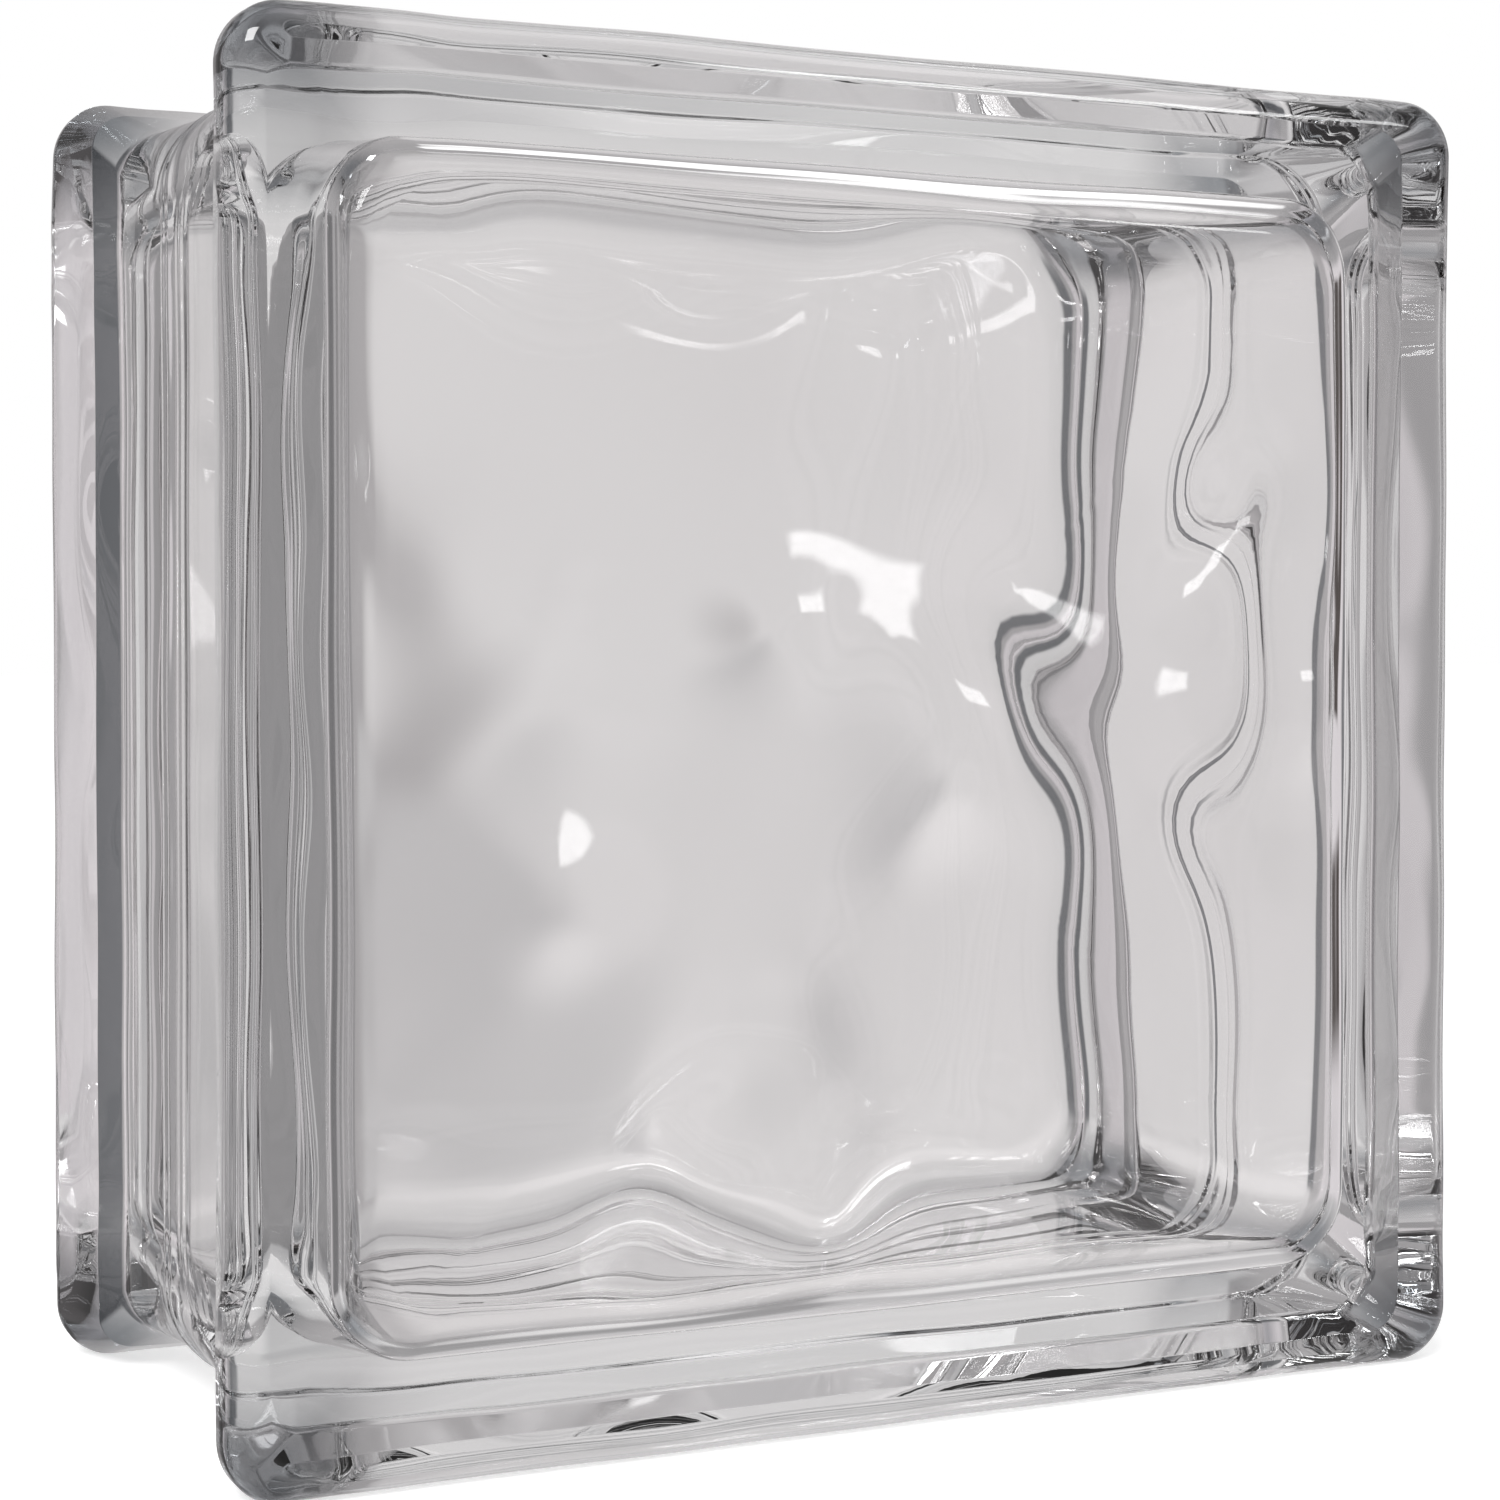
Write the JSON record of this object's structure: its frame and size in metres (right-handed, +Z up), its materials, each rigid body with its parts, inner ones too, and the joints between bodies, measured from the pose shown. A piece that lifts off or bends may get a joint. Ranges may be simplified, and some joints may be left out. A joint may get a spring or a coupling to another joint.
{
  "type": "glass block",
  "caption": "Square hollow building block of clear pressed glass with flat faces, a wavy inner relief, rounded flanges and a mortar channel round its edge.",
  "frame": {"origin": "middle of the base, on the plane the block stands on", "axes": "+X to the right along the width, +Y from the front face to the rear face, +Z up"},
  "size_m": [0.19, 0.1, 0.19],
  "materials": {
    "clear_glass": "smooth fire-polished clear glass"
  },
  "bodies": {
    "root": {"front_half_shell": "clear_glass", "rear_half_shell": "clear_glass"}
  },
  "joints": []
}
